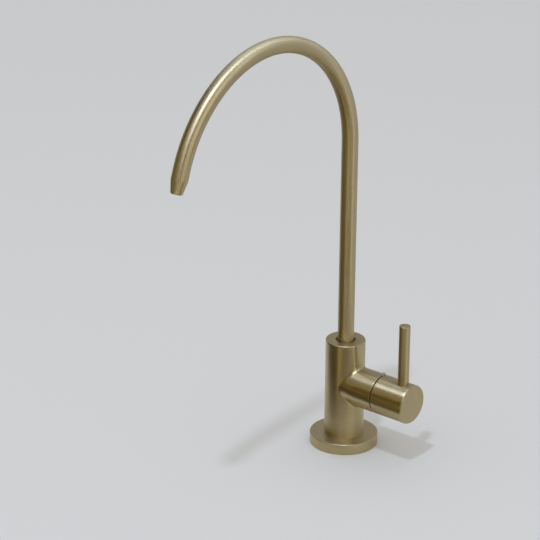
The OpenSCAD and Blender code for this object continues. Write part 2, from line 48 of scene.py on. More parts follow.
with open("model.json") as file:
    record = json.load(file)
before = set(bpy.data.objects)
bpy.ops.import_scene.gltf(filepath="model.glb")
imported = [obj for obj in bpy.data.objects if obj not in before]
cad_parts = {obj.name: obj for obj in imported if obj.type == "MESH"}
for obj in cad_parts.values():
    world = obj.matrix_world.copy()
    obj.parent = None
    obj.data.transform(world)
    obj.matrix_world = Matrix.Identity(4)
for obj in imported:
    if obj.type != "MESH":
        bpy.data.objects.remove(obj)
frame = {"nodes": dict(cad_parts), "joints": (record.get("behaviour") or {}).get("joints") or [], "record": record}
cadLow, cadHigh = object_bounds()
mm = 0.001
fullTurn = 2 * np.pi
jointOf = {joint["name"]: joint for joint in frame["joints"]}
slotOf = {row["node"]: row["material_slot"] for row in frame["record"]["subparts"]}
low = {name: np.array(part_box(name)[0]) for name in frame["nodes"]}
high = {name: np.array(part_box(name)[1]) for name in frame["nodes"]}
midOf = {name: (low[name] + high[name]) / 2 for name in low}
halfOf = {name: (high[name] - low[name]) / 2 for name in low}

# Directions of a turned piece: its axis, and the two directions that its turn starts from and goes to
uprightAxis = np.array([[0, 0, 1], [1, 0, 0], [0, 1, 0]], float)
valveAxis = np.eye(3)
valveHeight = jointOf["handle_turn"]["pos_m"][2]
valveCentre = np.array([0, 0, valveHeight])
deckCentre = np.zeros(3)

meshing = {
    "turnSteps": 192,        # steps round a turned piece
    "cornerSteps": 5,        # chords in a rounded corner
    "mergeGap": 0.002 * mm,  # points closer than this become one
    "creaseAngle": 32,       # degrees, sharper edges than this stay sharp
    "grainRadius": 12 * mm,  # of the circle that a turn is laid out on in the grain
    "uvUnit": 100 * mm,      # length of one unit of uv
    "slack": 1e-6,           # for comparing shares of a hole's block
}


# Surfaces

# A patch is a grid of points with its brushing: along runs across the brush lines, turn goes with them.
# The grain is (along, turn as a circle of grainRadius), so it has no seam, and uv is (along, turn) unrolled
def patch(points, along, turn, keep=None):
    radius = meshing["grainRadius"]
    along, turn = (np.broadcast_to(part, points.shape[:2]) for part in (along, turn))
    grain = np.stack([along, radius * np.cos(turn), radius * np.sin(turn)], -1)
    uv = np.stack([along, radius * turn], -1) / meshing["uvUnit"]
    return {"points": points, "grain": grain, "uv": uv, "keep": keep}


# Quads of a grid of rows and columns, numbered row by row from first
def gridFaces(rows, columns, first):
    corner = first + np.arange(rows * columns).reshape(rows, columns)
    return np.stack([corner[:-1, :-1], corner[:-1, 1:], corner[1:, 1:], corner[1:, :-1]], -1)


# Outline with round corners. Each corner is (along, radius, round): its sides are cut back by
# round * tan(half the angle between them), and an arc of that radius joins the cuts in equal steps
def roundedOutline(corners, closed=False):
    corner = np.array(corners, float)
    if closed:
        corner = np.vstack([corner[-1:], corner, corner[:1]])
    sides = np.diff(corner[:, :2], axis=0)
    sides /= np.linalg.norm(sides, axis=1)[:, None]
    points = [] if closed else [corner[:1, :2]]
    for here, into, out in zip(corner[1:-1], sides[:-1], sides[1:]):
        bend = np.arctan2(into[0] * out[1] - into[1] * out[0], into @ out)
        cutBack = here[2] * np.tan(abs(bend) / 2)
        swing = np.linspace(0, bend, meshing["cornerSteps"] + 1 if here[2] else 1)
        inward = np.sign(bend) * np.array([-into[1], into[0]])
        start = here[:2] - into * cutBack
        arc = np.sin(np.abs(swing))[:, None] * into + (1 - np.cos(swing))[:, None] * inward
        points.append(start + here[2] * arc)
    points.append(points[0][:1] if closed else corner[-1:, :2])
    return np.vstack(points)


# Points round an axis: origin + along * axis + radius * (cos(turn) * first side + sin(turn) * second side)
def roundAxis(along, radius, turn, axes=uprightAxis, origin=deckCentre):
    parts = np.broadcast_arrays(along, radius * np.cos(turn), radius * np.sin(turn))
    return origin + np.stack(parts, -1) @ axes


# Turned surface: an outline of (along, radius) carried round an axis, brushed from seed on
def turned(outline, axes=uprightAxis, origin=deckCentre, start=0.0, steps=meshing["turnSteps"], seed=0.0):
    turn = np.linspace(start, start + fullTurn, steps + 1)
    points = roundAxis(outline[:, :1], outline[:, 1:], turn, axes, origin)
    travelled = np.append(0, np.cumsum(np.linalg.norm(np.diff(outline, axis=0), axis=1)))
    return patch(points, seed + travelled[:, None], turn)


# Gives a flat patch straight brushing: along is one coordinate of its points and the lines go with another
def brushedStraight(flat, alongAxis, lineAxis):
    along, line = flat["points"][..., alongAxis], flat["points"][..., lineAxis]
    flat["grain"] = np.stack([along, line, 0 * line], -1)
    flat["uv"] = np.stack([along, line], -1) / meshing["uvUnit"]
    return flat


# Round hole on a cylinder of radius bulge, at a place across and a turn, in a square block of its grid.
# From its middle the hole takes innerCells cells each way and the block outerCells
def roundHole(across, turn, radius, bulge, innerCells, outerCells):
    half = outerCells * bulge * fullTurn / meshing["turnSteps"]
    return {"across": across, "around": bulge * turn, "radius": radius, "bulge": bulge, "half": half,
            "innerCells": innerCells, "outerCells": outerCells}


# Rows of the grid through a hole's block, in equal steps
def blockRows(hole):
    return hole["across"] + hole["half"] * np.linspace(-1, 1, 2 * hole["outerCells"] + 1)


# Unrolled grid with round holes. In the square block round a hole, a point on a ring of the block goes to
# (1 - s) * circle + s * square, with s from 0 at the hole to 1 at the block's edge, and the cells inside go
def punchedGrid(rows, columns, holes):
    across, around = np.meshgrid(rows, columns, indexing="ij")
    keep = np.ones((len(rows) - 1, len(columns) - 1), bool)
    for hole in holes:
        half, radius, bulge = hole["half"], hole["radius"], hole["bulge"]
        sideA = (across - hole["across"]) / half
        sideB = (around - hole["around"]) / half
        ring = np.maximum(np.abs(sideA), np.abs(sideB))
        inBlock = ring < 1 + meshing["slack"]
        safe = np.where(ring < meshing["slack"], 1.0, ring)
        isA = np.abs(sideA) >= np.abs(sideB)
        larger, smaller = np.where(isA, sideA, sideB), np.where(isA, sideB, sideA)
        swing = smaller / np.where(larger == 0, 1, larger) * np.pi / 4
        angle = np.where(isA, swing, np.pi / 2 - swing) + np.where(larger < 0, np.pi, 0)
        edge = hole["innerCells"] / hole["outerCells"]
        s = np.clip((ring - edge) / (1 - edge), 0, 1)
        circleB = bulge * np.arcsin(radius * np.sin(angle) / bulge)
        newA = hole["across"] + (1 - s) * radius * np.cos(angle) + s * half * sideA / safe
        newB = hole["around"] + (1 - s) * circleB + s * half * sideB / safe
        within = inBlock & (ring < edge + meshing["slack"])
        keep &= ~(within[:-1, :-1] & within[:-1, 1:] & within[1:, :-1] & within[1:, 1:])
        across, around = np.where(inBlock, newA, across), np.where(inBlock, newB, around)
    return across, around, keep


# Wall of a punched hole from rings of (radius, depth, level), with the 8 * innerCells points of its edge:
# across = radius * cos, sideways = radius * sin, and the height is sqrt(bulge^2 - sideways^2) - depth for a
# ring that follows the surface, or the given level for a flat one
def holeWall(hole, rings, axes, origin=deckCentre):
    place = hole["around"] / hole["bulge"]
    outward = np.cos(place) * axes[1] + np.sin(place) * axes[2]
    onward = np.cos(place) * axes[2] - np.sin(place) * axes[1]
    turn = np.linspace(0, fullTurn, 8 * hole["innerCells"] + 1)
    points = []
    for radius, depth, level in rings:
        across, sideways = hole["across"] + radius * np.cos(turn), radius * np.sin(turn)
        height = np.sqrt(hole["bulge"] ** 2 - sideways ** 2) - depth if level is None else level + 0 * turn
        points.append(np.stack([across, sideways, height], -1) @ np.stack([axes[0], onward, outward]))
    run = np.linspace(0, 2 * hole["radius"], len(rings))[:, None]
    return patch(origin + np.array(points), run, turn)


# Flat turned ring from start to end and from inner to outer, with the rounds of its four corners
def flatRing(start, end, inner, outer, rounds, **how):
    corners = zip((start, start, end, end), (inner, outer, outer, inner), rounds)
    return [turned(roundedOutline(list(corners), closed=True), **how)]


# Puts an object into the scene
def addObject(name, data):
    thing = bpy.data.objects.new(name, data)
    bpy.context.scene.collection.objects.link(thing)
    return thing


# Puts patches into one closed mesh: equal points merge, faces point outwards, the piece rides on its body
def makePiece(name, patches, material, body, replaced):
    points, uv, grain = (
        np.concatenate([p[part].reshape(-1, p[part].shape[-1]) for p in patches])
        for part in ("points", "uv", "grain")
    )
    faces, first = [], 0
    for p in patches:
        quads = gridFaces(*p["points"].shape[:2], first)
        faces.append(quads.reshape(-1, 4) if p["keep"] is None else quads[p["keep"]])
        first += p["points"][..., 0].size
    mesh = bpy.data.meshes.new(name)
    mesh.from_pydata(points.tolist(), [], np.concatenate(faces).tolist())
    corner = np.empty(len(mesh.loops), np.int32)
    mesh.loops.foreach_get("vertex_index", corner)
    mesh.uv_layers.new(name="brush").uv.foreach_set("vector", uv[corner].astype(np.float32).ravel())
    layer = mesh.attributes.new("grain", "FLOAT_VECTOR", "CORNER")
    layer.data.foreach_set("vector", grain[corner].astype(np.float32).ravel())
    work = bmesh.new()
    work.from_mesh(mesh)
    bmesh.ops.remove_doubles(work, verts=work.verts, dist=meshing["mergeGap"])
    bmesh.ops.delete(work, geom=[vert for vert in work.verts if not vert.link_faces], context="VERTS")
    bmesh.ops.recalc_face_normals(work, faces=work.faces)
    openEdges = sum(len(edge.link_faces) != 2 for edge in work.edges)
    work.to_mesh(mesh)
    work.free()
    mesh.polygons.foreach_set("use_smooth", np.ones(len(mesh.polygons), bool))
    mesh.set_sharp_from_angle(angle=np.radians(meshing["creaseAngle"]))
    mesh.materials.append(material)
    piece = addObject(name, mesh)
    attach(piece, body)
    if replaced:
        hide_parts(*replaced)
    print("piece", name, len(mesh.polygons), "faces,", openEdges, "open edges")


# Finishes

patterns = {
    "Lines": (1.0, 4.0),     # share of the line scale across the brushing, and detail
    "Bands": (0.16, 2.0),
    "lineRoughness": 0.6,    # of the noise, where that of the other patterns is plainRoughness
    "plainRoughness": 0.5,
    "lineDepth": 0.03 * mm,
    "cloudScale": 70.0,
    "cloudDetail": 3.0,
    "Speckle": 2.0,          # detail, like that of the mottling
    "Mottle": 4.0,
    "mottleShare": 0.12,     # of the speckle scale
    "span": (0.3, 0.7),      # nearly all values of a noise lie between these
}


# Sets inputs of a node, each to a fixed value or to the output that feeds it
def feed(tree, node, inputs):
    for name, value in inputs.items():
        if isinstance(value, bpy.types.NodeSocket):
            tree.links.new(value, node.inputs[name])
        else:
            node.inputs[name].default_value = value


# A new node with its values set and its inputs fed
def addNode(tree, kind, inputs=None, **values):
    node = tree.nodes.new(kind)
    for name, value in values.items():
        setattr(node, name, value)
    feed(tree, node, inputs or {})
    return node


# An output times a fixed factor
def times(tree, source, factor):
    return addNode(tree, "ShaderNodeMath", {0: source, 1: factor}, operation="MULTIPLY").outputs[0]


# Noise over a place, from 0 to 1
def addNoise(tree, place, scale, detail, roughness=patterns["plainRoughness"]):
    inputs = {"Vector": place, "Scale": scale, "Detail": detail, "Roughness": roughness}
    return addNode(tree, "ShaderNodeTexNoise", inputs).outputs["Fac"]


# A shader node group with one vector input, number inputs and number outputs
def newGroup(name, vector, numbers, results):
    tree = bpy.data.node_groups.new(name, "ShaderNodeTree")
    tree.interface.new_socket(vector, in_out="INPUT", socket_type="NodeSocketVector")
    for way, labels in (("INPUT", numbers), ("OUTPUT", results)):
        for label in labels:
            tree.interface.new_socket(label, in_out=way, socket_type="NodeSocketFloat")
    return tree, tree.nodes.new("NodeGroupInput").outputs, tree.nodes.new("NodeGroupOutput")


# Brush lines: noise stretched along the brushing. Lines is the fine scratch height, Bands the slow change
# from pass to pass of the brush, and Clouds the soft handling marks, each from 0 to 1
def brushGroup():
    numbers, results = ("Line Scale", "Stretch"), ("Lines", "Bands", "Clouds")
    tree, given, result = newGroup("brushLines", "Grain", numbers, results)
    grain, lineScale, stretch = given[:3]
    thin = addNode(tree, "ShaderNodeMath", {0: lineScale, 1: stretch}, operation="DIVIDE").outputs[0]
    for label in ("Lines", "Bands"):
        share, detail = patterns[label]
        scale = addNode(tree, "ShaderNodeCombineXYZ", {0: times(tree, lineScale, share), 1: thin, 2: thin})
        place = addNode(tree, "ShaderNodeVectorMath", {0: grain, 1: scale.outputs[0]}, operation="MULTIPLY")
        noise = addNoise(tree, place.outputs[0], 1.0, detail, patterns["lineRoughness"])
        feed(tree, result, {label: noise})
    clouds = addNoise(tree, grain, patterns["cloudScale"], patterns["cloudDetail"])
    feed(tree, result, {"Clouds": clouds})
    return tree


# Moulded grain: fine speckle of a moulded or rubbed surface, and the slow mottling under it, each from 0 to 1
def mouldGroup():
    tree, given, result = newGroup("mouldedGrain", "Place", ("Speckle Scale",), ("Speckle", "Mottle"))
    place, fine = given[:2]
    for label, scale in (("Speckle", fine), ("Mottle", times(tree, fine, patterns["mottleShare"]))):
        feed(tree, result, {label: addNoise(tree, place, scale, patterns[label])})
    return tree


brushLines = brushGroup()
mouldedGrain = mouldGroup()


# A material with its shader and output joined
def newMaterial(name, kind="ShaderNodeBsdfPrincipled"):
    material = bpy.data.materials.new(name)
    material.use_nodes = True
    tree = material.node_tree
    tree.nodes.clear()
    shader = addNode(tree, kind)
    addNode(tree, "ShaderNodeOutputMaterial", {"Surface": shader.outputs[0]})
    return material, tree, shader


# A 0 to 1 pattern turned into the range from lowest to highest
def ranged(tree, pattern, lowest, highest):
    start, end = patterns["span"]
    inputs = {"Value": pattern, "From Min": start, "From Max": end, "To Min": lowest, "To Max": highest}
    return addNode(tree, "ShaderNodeMapRange", inputs).outputs["Result"]


# Two colours mixed by a pattern: inputs 0, 6 and 7 are the factor and the colours, output 2 is the result
def mixed(tree, pattern, first, second):
    inputs = {0: pattern, 6: (*first, 1), 7: (*second, 1)}
    return addNode(tree, "ShaderNodeMix", inputs, data_type="RGBA").outputs[2]


# Normal of a surface that a pattern raises
def raised(tree, pattern, strength, distance):
    inputs = {"Strength": strength, "Distance": distance, "Height": pattern}
    return addNode(tree, "ShaderNodeBump", inputs).outputs["Normal"]


# Brushed metal: fine lines with the brushing, highlights drawn out across them
def brushedMetal(name, look, grained=True):
    material, tree, shader = newMaterial(name)
    if grained:
        place = addNode(tree, "ShaderNodeAttribute", attribute_name="grain").outputs["Vector"]
        tangent = addNode(tree, "ShaderNodeTangent", direction_type="UV_MAP", uv_map="brush")
        feed(tree, shader, {"Tangent": tangent.outputs[0]})
    else:
        place = addNode(tree, "ShaderNodeTexCoord").outputs["Object"]
    inputs = {"Grain": place, "Line Scale": look["lineScale"], "Stretch": look["stretch"]}
    lines = addNode(tree, "ShaderNodeGroup", inputs, node_tree=brushLines).outputs
    feed(tree, shader, {
        "Base Color": mixed(tree, lines["Bands"], look["darker"], look["lighter"]),
        "Roughness": ranged(tree, lines["Clouds"], *look["roughness"]),
        "Normal": raised(tree, lines["Lines"], look["bump"], patterns["lineDepth"]),
        "Metallic": 1.0,
        "Anisotropic": look["drawnOut"],
    })
    return material


# Moulded plastic, rubber or ceramic: speckled surface over a slow mottling
def mouldedSolid(name, look):
    material, tree, shader = newMaterial(name)
    place = addNode(tree, "ShaderNodeTexCoord").outputs["Object"]
    inputs = {"Place": place, "Speckle Scale": look["speckleScale"]}
    grain = addNode(tree, "ShaderNodeGroup", inputs, node_tree=mouldedGrain).outputs
    feed(tree, shader, {
        "Base Color": mixed(tree, grain["Mottle"], look["darker"], look["lighter"]),
        "Roughness": ranged(tree, grain["Speckle"], *look["roughness"]),
        "Normal": raised(tree, grain["Speckle"], look["bump"], look["grainDepth"]),
        "Specular IOR Level": look["shine"],
    })
    return material


# Looks by slot. Line scale is lines per metre across the brushing, and stretch a line's length over its width
metalLooks = {
    "brushed_brass": {
        "name": "brushedBrass", "darker": (0.455, 0.370, 0.195), "lighter": (0.545, 0.453, 0.255),
        "roughness": (0.33, 0.39), "lineScale": 5200.0, "stretch": 60.0, "bump": 0.10, "drawnOut": 0.92,
    },
    "turned_brass": {
        "name": "turnedBrass", "darker": (0.60, 0.42, 0.16), "lighter": (0.72, 0.53, 0.24),
        "roughness": (0.18, 0.30), "lineScale": 3600.0, "stretch": 200.0, "bump": 0.12, "drawnOut": 0.5,
    },
    "steel": {
        "name": "plainSteel", "darker": (0.50, 0.50, 0.49), "lighter": (0.63, 0.63, 0.62),
        "roughness": (0.25, 0.38), "lineScale": 4200.0, "stretch": 120.0, "bump": 0.10, "drawnOut": 0.3,
    },
}
mouldedLooks = {
    # Black plastic is given a dark brown here: the rings made of it sit in shaded recesses of the brass, and the
    # brown paints that shade's tone, so it is partly the plastic's colour and partly painted shade
    "black_plastic": {
        "darker": (0.085, 0.055, 0.010), "lighter": (0.115, 0.075, 0.017), "roughness": (0.42, 0.58),
        "speckleScale": 2600.0, "bump": 0.15, "grainDepth": 0.03 * mm, "shine": 0.08,
    },
    "grey_plastic": {
        "darker": (0.30, 0.285, 0.255), "lighter": (0.40, 0.385, 0.35), "roughness": (0.36, 0.50),
        "speckleScale": 2400.0, "bump": 0.12, "grainDepth": 0.03 * mm, "shine": 0.45,
    },
    "rubber": {
        "darker": (0.008, 0.008, 0.008), "lighter": (0.020, 0.020, 0.019), "roughness": (0.62, 0.80),
        "speckleScale": 3400.0, "bump": 0.25, "grainDepth": 0.04 * mm, "shine": 0.25,
    },
    "ceramic": {
        "darker": (0.70, 0.68, 0.63), "lighter": (0.80, 0.79, 0.75), "roughness": (0.10, 0.18),
        "speckleScale": 3000.0, "bump": 0.03, "grainDepth": 0.01 * mm, "shine": 0.6,
    },
}
brassLook = metalLooks["brushed_brass"]
brass, plainBrass, steel = (brushedMetal(look["name"], look) for look in metalLooks.values())
moulded = {
    slot: mouldedSolid("moulded" + slot.title().replace("_", ""), look) for slot, look in mouldedLooks.items()
}
# The solids that come with the frame have no grain of their own, so theirs follows their place
frameMetals = {
    slot: brushedMetal(look["name"] + "Solid", look, grained=False) for slot, look in metalLooks.items()
}
frameFinish = {**frameMetals, **moulded}
for nodeName, node in frame["nodes"].items():
    node.data.materials.clear()
    node.data.materials.append(frameFinish[slotOf[nodeName]])
print("finishes:", len(bpy.data.materials), "materials")


# Spout

spout = {
    "bendRadius": 78 * mm,
    "bendAngle": 161,        # degrees from straight up
    "endStraight": 6 * mm,   # straight tube between the bend and the taper
    "tipLength": 8 * mm,
    "mouthRadius": 3.6 * mm,
    "mouthWall": 0.6 * mm,
    "mouthEdge": 0.4 * mm,   # chamfer round the mouth
    "mouthRound": 0.3 * mm,
    "mouthInnerRound": 0.1 * mm,
    "wall": 1 * mm,
    "creaseRound": 1.6 * mm,  # softness of the edge where the taper starts
    "straightRows": 12,
    "bendSteps": 132,
    "boreDepth": 4.1 * mm,   # from the mouth to where the bore has narrowed
    "steps": 112,
}


# Middle line of the spout at the distance s along it: straight up, then round the bend, then on in a line
def spoutLine(s):
    bendTurn = np.radians(spout["bendAngle"])
    radius = spout["bendRadius"]
    startZ = high["spout_tube"][2] - radius - high["spout_tube"][0]
    straight = startZ - low["spout_tube"][2]
    turn = np.clip((s - straight) / radius, 0, bendTurn)
    past = np.clip(s - straight, None, 0) + np.clip(s - straight - radius * bendTurn, 0, None)
    outward = np.stack([0 * s, np.cos(turn), np.sin(turn)], -1)
    ahead = np.stack([0 * s, -np.sin(turn), np.cos(turn)], -1)
    middle = np.array([0, -radius, startZ]) + radius * outward + past[:, None] * ahead
    return middle, outward, straight, straight + radius * bendTurn


# Spout tube: a closed outline of (distance along the middle line, radius) carried along that line, so
# point = middle(s) + radius * (cos(turn) * outward(s) + sin(turn) * sideways)
def spoutTube():
    radius = high["spout_tube"][0]
    bore = radius - spout["wall"]
    bendStart, bendEnd = spoutLine(np.zeros(1))[2:]
    crease = bendEnd + spout["endStraight"]
    mouth = crease + spout["tipLength"]
    mouthBore = spout["mouthRadius"] - spout["mouthWall"]
    neck = mouth - spout["boreDepth"]
    along = np.concatenate([
        np.linspace(0, bendStart, spout["straightRows"]),
        np.linspace(bendStart, bendEnd, spout["bendSteps"])[1:],
    ])
    tip = roundedOutline([
        (along[-1], radius, 0),
        (crease, radius, spout["creaseRound"]),
        (mouth - spout["mouthEdge"], spout["mouthRadius"], spout["mouthRound"]),
        (mouth, spout["mouthRadius"] - spout["mouthEdge"], spout["mouthInnerRound"]),
        (mouth, mouthBore, 0),
        (neck, mouthBore, 0),
        (crease, bore, 0),
    ])
    outline = np.vstack([
        [(0, bore), (0, radius)],
        np.stack([along[1:-1], 0 * along[1:-1] + radius], 1),
        tip,
        np.stack([along[::-1], 0 * along + bore], 1),
    ])
    middle, outward = spoutLine(outline[:, 0])[:2]
    turn = np.linspace(0, fullTurn, spout["steps"] + 1)
    ring = np.cos(turn)[:, None] * outward[:, None] + np.sin(turn)[:, None] * np.array([1.0, 0, 0])
    points = middle[:, None] + outline[:, 1, None, None] * ring
    return [patch(points, outline[:, :1], turn)]


makePiece("spoutTube", spoutTube(), brass, "spout", ["spout_tube"])


# Body

body = {
    "fillet": 1.8 * mm,      # between the upright and the branch
    "noseDepth": 0.8 * mm,   # how much slimmer the branch starts at its front and rear
    "noseLength": 9 * mm,    # over which it reaches its full size
    "nosePower": 4,          # how closely the slimming keeps to the front and rear
    "topRound": 0.5 * mm,
    "branchRound": 0.35 * mm,
    "boreRound": 0.25 * mm,
    "drumFloor": 14.9 * mm,  # above the valve's axis: from here up the body is a plain drum
    "sideRows": 12,
    "drumRows": 8,
    "branchRows": 24,
    "filletRows": 9,
    "screwBlock": 6,         # cells from the middle of the screw hole to its block's edge
    "screwCells": 3,         # cells from its middle to its own edge
    "screwDepth": 5.4 * mm,
    "roughness": (0.30, 0.35),  # a little finer brushed than the rest
    "drawnOut": 0.86,
}


# Line of the fillet. The ball of the fillet's radius rolls in the corner with its centre at y = reach * cos,
# z = reach * sin of the turn, reach being the branch's radius there + fillet, and x from the upright,
# x = sqrt((radius + fillet)^2 - y^2). The branch starts a little slimmer at its front and rear
def filletLine(turn, radius):
    slim = radius - body["noseDepth"] * np.cos(turn) ** body["nosePower"]
    y, z = (slim + body["fillet"]) * np.cos(turn), (slim + body["fillet"]) * np.sin(turn)
    return slim, np.stack([np.sqrt((radius + body["fillet"]) ** 2 - y ** 2), y, z], -1)


# Upright of the body. Front rows go from the fillet's line to the drum above or the foot below, and the rows
# of the back span the rest, round the axis at a turn that eases from the line to equal steps
def uprightSides(radius, foot, drumFloor):
    half = meshing["turnSteps"] // 2
    centre = filletLine(np.linspace(np.pi, 0, half + 1), radius)[1]
    near = np.arctan2(centre[:, 1], centre[:, 0])
    far = np.linspace(-np.pi / 2, np.pi / 2, half + 1)
    rows = np.linspace(0, 1, body["sideRows"])[:, None]
    upperTurn = near + rows * (far - near)
    upper = valveHeight + centre[:, 2] + rows * (drumFloor - valveHeight - centre[:, 2])
    lowerTurn = far + rows * (near - far)
    lower = foot + rows * (valveHeight - centre[:, 2] - foot)
    edgeTurn = np.concatenate([lowerTurn[:, -1:], upperTurn[1:, -1:]])
    edge = np.concatenate([lower[:, -1:], upper[1:, -1:]])
    backTurn = edgeTurn + np.linspace(0, 1, half + 1) * (fullTurn - 2 * edgeTurn)
    sides = []
    for turn, height in ((upperTurn, upper), (lowerTurn, lower), (backTurn, np.repeat(edge, half + 1, 1))):
        sides.append(patch(roundAxis(height, radius, turn), height, turn))
    return sides


# Drum above the branch: a cylinder with the hole for the spout's retaining screw at the rear
def drumSide(radius, drumFloor, drumTop):
    screwZ, screwRadius = midOf["spout_grub_screw"][2], high["spout_grub_screw"][0]
    hole = roundHole(screwZ, np.pi / 2, screwRadius, radius, body["screwCells"], body["screwBlock"])
    rows = np.concatenate([
        [drumFloor],
        blockRows(hole),
        np.linspace(screwZ + hole["half"], drumTop, body["drumRows"])[1:],
    ])
    turn = np.linspace(-np.pi / 2, 3 * np.pi / 2, meshing["turnSteps"] + 1)
    height, around, keep = punchedGrid(rows, radius * turn, [hole])
    turn = around / radius
    side = patch(roundAxis(height, radius, turn), height, turn, keep)
    floor = radius - body["screwDepth"]
    wall = holeWall(hole, [(screwRadius, 0, None), (screwRadius, 0, floor), (0, 0, floor)], uprightAxis)
    return [side, wall]


# Branch and fillet. The branch's radius eases from the slim start to its full size. The fillet is the arc
# from the ball's touch on the upright, towards (x, y) of its centre, to that on the branch, towards (y, z)
def branchSides(radius, branchEnd):
    turn = np.linspace(0, fullTurn, meshing["turnSteps"] + 1)
    slim, centre = filletLine(turn, radius)
    rows = np.linspace(0, 1, body["branchRows"])[:, None]
    along = centre[:, 0] + rows * (branchEnd - centre[:, 0])
    ease = np.clip((along - centre[:, 0]) / body["noseLength"], 0, 1)
    reach = slim + (radius - slim) * ease * ease * (3 - 2 * ease)
    side = patch(roundAxis(along, reach, turn, valveAxis, valveCentre), along, turn)
    toUpright = -centre * [1, 1, 0] / (radius + body["fillet"])
    toBranch = -centre * [0, 1, 1] / (slim + body["fillet"])[:, None]
    angle = np.arccos(np.clip(np.sum(toUpright * toBranch, -1), -1, 1))
    share = np.linspace(0, 1, body["filletRows"])[:, None]
    arm = (np.sin((1 - share) * angle)[..., None] * toUpright + np.sin(share * angle)[..., None] * toBranch)
    arm /= np.sin(angle)[:, None]
    fillet = patch(valveCentre + centre + body["fillet"] * arm, share * angle * body["fillet"], turn)
    return [side, fillet]


# Body: the sides above, closed by turned ends with their bores. The flat ring on top is brushed straight
def tapBody():
    radius, top, foot = high["tap_body"][1], high["tap_body"][2], low["tap_body"][2]
    branchEnd = high["tap_body"][0]
    drumFloor = valveHeight + body["drumFloor"]
    drumTop = top - body["topRound"]
    socket, socketFloor = high["spout_guide_ring"][0], low["spout_ferrule"][2]
    chamber, chamberFloor = high["gland_nut"][1], low["seat_seal"][0]
    spigot, spigotTop = high["shank_o_ring"][0], high["threaded_shank"][2]
    quarter = -np.pi / 2
    topEnd = roundedOutline([
        (drumTop - body["topRound"], radius, 0), (top, radius, body["topRound"]),
        (top, socket, body["boreRound"]), (socketFloor, socket, 0), (socketFloor, 0, 0),
    ])[1:]
    lip = meshing["cornerSteps"] + 1
    footEnd = np.array([(foot, radius), (foot, spigot), (spigotTop, spigot), (spigotTop, 0)])
    branchCut = branchEnd - body["branchRound"]
    branchTip = roundedOutline([
        (branchCut - body["branchRound"], radius, 0), (branchEnd, radius, body["branchRound"]),
        (branchEnd, chamber, 0), (chamberFloor, chamber, 0), (chamberFloor, 0, 0),
    ])[1:]
    return [
        *uprightSides(radius, foot, drumFloor),
        *drumSide(radius, drumFloor, drumTop),
        *branchSides(radius, branchCut),
        turned(topEnd[:lip], start=quarter, seed=top),
        brushedStraight(turned(topEnd[lip - 1:lip + 1], start=quarter), 1, 0),
        turned(topEnd[lip:], start=quarter, seed=top + radius),
        turned(footEnd, start=quarter, seed=foot),
        turned(branchTip, valveAxis, valveCentre, seed=branchCut),
    ]


bodyLook = {**brassLook, "roughness": body["roughness"], "drawnOut": body["drawnOut"]}
bodyBrass = brushedMetal("brushedBodyBrass", bodyLook)
makePiece("tapBody", tapBody(), bodyBrass, "tap", ["tap_body"])


# Base flange

flange = {
    "topRound": 0.55 * mm,
    "footRound": 0.25 * mm,
    "holeRadius": 6.05 * mm,
    "collarRadius": 8.05 * mm,
    "collarDepth": 2 * mm,
    "sealInner": 16.6 * mm,
    "grainStart": 0.2,       # its brush lines differ from the body's
    "drawnOut": 0.3,         # less than the rest, as its top lies flat
}


# A turned plate with a groove under it for its seal and a stepped hole for the shank
def baseFlange():
    radius, top = high["base_flange"][0], high["base_flange"][2]
    sealOuter, sealDepth = high["base_seal"][0], high["base_seal"][2]
    outline = roundedOutline([
        (0, flange["collarRadius"], 0), (0, flange["sealInner"], 0), (sealDepth, flange["sealInner"], 0),
        (sealDepth, sealOuter, 0), (0, sealOuter, 0), (0, radius, flange["footRound"]),
        (top, radius, flange["topRound"]), (top, flange["holeRadius"], 0),
        (flange["collarDepth"], flange["holeRadius"], 0), (flange["collarDepth"], flange["collarRadius"], 0),
    ], closed=True)
    return [turned(outline, seed=flange["grainStart"])]


flangeBrass = brushedMetal("brushedFlangeBrass", {**brassLook, "drawnOut": flange["drawnOut"]})
makePiece("baseFlange", baseFlange(), flangeBrass, "tap", ["base_flange"])


# Handle

handle = {
    "rimRound": 1.3 * mm,
    "innerRound": 0.35 * mm,
    "recessRadius": 8.9 * mm,
    "recessDepth": 2 * mm,
    "stemRadius": 4 * mm,
    "seatRim": 0.3 * mm,      # countersink round the lever
    "seatFit": 0.04 * mm,
    "sideRows": 8,
    "faceRings": 9,
    "seatBlock": 12,          # cells from the middle of the lever's hole to its block's edge
    "seatCells": 8,
    "screwBlock": 7,
    "screwCells": 4,
    "screwDepth": 7.6 * mm,
    "leverRound": 0.3 * mm,
    "leverRoot": 2.5 * mm,
    "leverSeat": 1.6 * mm,    # below the top of the barrel
    "leverSteps": 96,
    "leverGrain": 0.4,        # where its brush lines start
}


